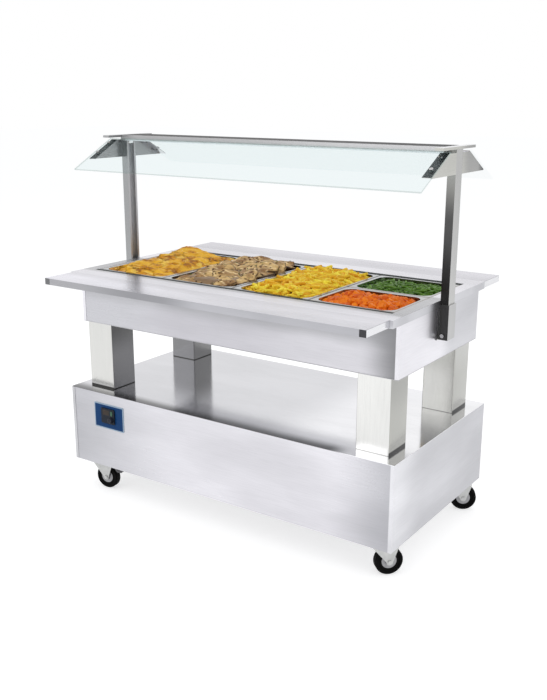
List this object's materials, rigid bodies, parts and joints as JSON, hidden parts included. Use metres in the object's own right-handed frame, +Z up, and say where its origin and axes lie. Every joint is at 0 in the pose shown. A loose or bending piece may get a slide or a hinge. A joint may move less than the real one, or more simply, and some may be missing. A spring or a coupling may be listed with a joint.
{
  "type": "heated buffet counter",
  "caption": "Mobile stainless heated buffet counter with a water well, food pans, fold-down tray slides and a lit glass breath guard.",
  "frame": {"origin": "middle of the footprint on the floor", "axes": "+X along the length to the right, -Y towards the customer with the control panel, +Z up"},
  "size_m": [1.476, 1.032, 1.4195],
  "materials": {
    "steel_sheet": "fine brushed",
    "steel_post": "fine brushed",
    "steel_bracket": "satin",
    "steel_pan": "bright pressed",
    "bright_screw": "polished",
    "zinc_steel": "zinc plated",
    "heater_tube": "heat tinted",
    "insulation_wool": "felted",
    "brass_valve": "cast",
    "lever_red": "dipped",
    "plastic_black": "moulded",
    "tyre_black": "matt",
    "guard_glass": "clear",
    "lamp_glass": "clear",
    "lamp_cover_clear": "ribbed clear",
    "panel_blue": "satin",
    "unit_dark": "gloss",
    "rocker_green": "lit",
    "food_gratin": "baked",
    "food_roast": "roasted",
    "food_fries": "fried",
    "food_carrots": "glazed",
    "food_beans": "boiled"
  },
  "bodies": {
    "frame": {"plinth_front": "steel_sheet", "plinth_ends": "steel_sheet", "plinth_top": "steel_sheet", "plinth_floor": "steel_sheet", "plinth_rear_panel": "steel_sheet", "legs": "steel_sheet", "casing_panels": "steel_sheet", "casing_ends": "steel_sheet", "casing_floor": "steel_sheet", "worktop": "steel_sheet", "well_tank": "steel_sheet", "posts": "steel_post", "light_rail": "steel_post", "post_sockets": "steel_bracket", "bracket_left": "steel_bracket", "bracket_right": "steel_bracket", "pan_bars": "steel_pan", "tank_insulation": "insulation_wool", "heating_element": "heater_tube", "drain_valve": "brass_valve", "tray_brackets_front": "zinc_steel", "tray_brackets_rear": "zinc_steel", "fasteners": "bright_screw", "glass_front": "guard_glass", "glass_rear": "guard_glass", "lamp_cover": "lamp_cover_clear", "lamp_tube": "lamp_glass", "control_panel": "panel_blue", "control_unit": "unit_dark", "cable_gland": "plastic_black", "castor_plates": "zinc_steel"},
    "tray_front": {"tray_shelf_front": "steel_sheet", "tray_arms_front": "steel_sheet", "tray_caps_front": "plastic_black"},
    "tray_rear": {"tray_shelf_rear": "steel_sheet", "tray_arms_rear": "steel_sheet", "tray_caps_rear": "plastic_black"},
    "valve_lever": {"drain_lever": "lever_red"},
    "knob": {"thermostat_knob": "plastic_black"},
    "rocker": {"power_rocker": "rocker_green"},
    "bay_gratin": {"pan_gratin": "steel_pan", "food_gratin": "food_gratin"},
    "bay_roast": {"pan_roast": "steel_pan", "food_roast": "food_roast"},
    "bay_fries": {"pan_fries": "steel_pan", "food_fries": "food_fries"},
    "bay_carrots": {"pan_carrots": "steel_pan", "food_carrots": "food_carrots"},
    "bay_beans": {"pan_beans": "steel_pan", "food_beans": "food_beans"},
    "swivel_fl": {"fork_fl": "zinc_steel"},
    "roller_fl": {"wheel_fl": "tyre_black"},
    "swivel_fr": {"fork_fr": "zinc_steel"},
    "roller_fr": {"wheel_fr": "tyre_black"},
    "swivel_rl": {"fork_rl": "zinc_steel"},
    "roller_rl": {"wheel_rl": "tyre_black"},
    "swivel_rr": {"fork_rr": "zinc_steel"},
    "roller_rr": {"wheel_rr": "tyre_black"},
    "brake_fl": {"pedal_fl": "plastic_black"},
    "brake_rl": {"pedal_rl": "plastic_black"}
  },
  "joints": [
    {"name": "tray_front_fold", "type": "hinge", "parent": "frame", "child": "tray_front", "pos_m": [0, -0.369, 0.876], "axis": [1, 0, 0], "range_deg": [0, 90]},
    {"name": "tray_rear_fold", "type": "hinge", "parent": "frame", "child": "tray_rear", "pos_m": [0, 0.369, 0.876], "axis": [-1, 0, 0], "range_deg": [0, 90]},
    {"name": "drain_turn", "type": "hinge", "parent": "frame", "child": "valve_lever", "pos_m": [0.5, 0.125, 0.664], "axis": [0, -1, 0], "range_deg": [0, 90]},
    {"name": "knob_turn", "type": "hinge", "parent": "frame", "child": "knob", "pos_m": [-0.5145, -0.385, 0.333], "axis": [0, -1, 0], "range_deg": [0, 270]},
    {"name": "rocker_tilt", "type": "hinge", "parent": "frame", "child": "rocker", "pos_m": [-0.5105, -0.3805, 0.361], "axis": [1, 0, 0], "range_deg": [-7, 7]},
    {"name": "lift_gratin", "type": "slide", "parent": "frame", "child": "bay_gratin", "axis": [0, 0, 1], "range_m": [0, 0.16]},
    {"name": "lift_roast", "type": "slide", "parent": "frame", "child": "bay_roast", "axis": [0, 0, 1], "range_m": [0, 0.16]},
    {"name": "lift_fries", "type": "slide", "parent": "frame", "child": "bay_fries", "axis": [0, 0, 1], "range_m": [0, 0.16]},
    {"name": "lift_carrots", "type": "slide", "parent": "frame", "child": "bay_carrots", "axis": [0, 0, 1], "range_m": [0, 0.16]},
    {"name": "lift_beans", "type": "slide", "parent": "frame", "child": "bay_beans", "axis": [0, 0, 1], "range_m": [0, 0.16]},
    {"name": "castor_swivel_fl", "type": "hinge", "parent": "frame", "child": "swivel_fl", "pos_m": [-0.65, -0.315, 0.118], "axis": [0, 0, 1], "continuous": true},
    {"name": "wheel_turn_fl", "type": "hinge", "parent": "swivel_fl", "child": "roller_fl", "pos_m": [-0.61237, -0.30971, 0.05], "axis": [-0.1392, 0.9903, 0], "continuous": true},
    {"name": "brake_press_fl", "type": "hinge", "parent": "swivel_fl", "child": "brake_fl", "pos_m": [-0.58761, -0.30623, 0.1067], "axis": [-0.1392, 0.9903, 0], "range_deg": [0, 9]},
    {"name": "castor_swivel_fr", "type": "hinge", "parent": "frame", "child": "swivel_fr", "pos_m": [0.65, -0.315, 0.118], "axis": [0, 0, 1], "continuous": true},
    {"name": "wheel_turn_fr", "type": "hinge", "parent": "swivel_fr", "child": "roller_fr", "pos_m": [0.6764, -0.28767, 0.05], "axis": [-0.7193, 0.6947, 0], "continuous": true},
    {"name": "castor_swivel_rl", "type": "hinge", "parent": "frame", "child": "swivel_rl", "pos_m": [-0.65, 0.315, 0.118], "axis": [0, 0, 1], "continuous": true},
    {"name": "wheel_turn_rl", "type": "hinge", "parent": "swivel_rl", "child": "roller_rl", "pos_m": [-0.61709, 0.334, 0.05], "axis": [-0.5, 0.866, 0], "continuous": true},
    {"name": "brake_press_rl", "type": "hinge", "parent": "swivel_rl", "child": "brake_rl", "pos_m": [-0.59544, 0.3465, 0.1067], "axis": [-0.5, 0.866, 0], "range_deg": [0, 9]},
    {"name": "castor_swivel_rr", "type": "hinge", "parent": "frame", "child": "swivel_rr", "pos_m": [0.65, 0.315, 0.118], "axis": [0, 0, 1], "continuous": true},
    {"name": "wheel_turn_rr", "type": "hinge", "parent": "swivel_rr", "child": "roller_rr", "pos_m": [0.68355, 0.33284, 0.05], "axis": [-0.4695, 0.8829, 0], "continuous": true}
  ]
}
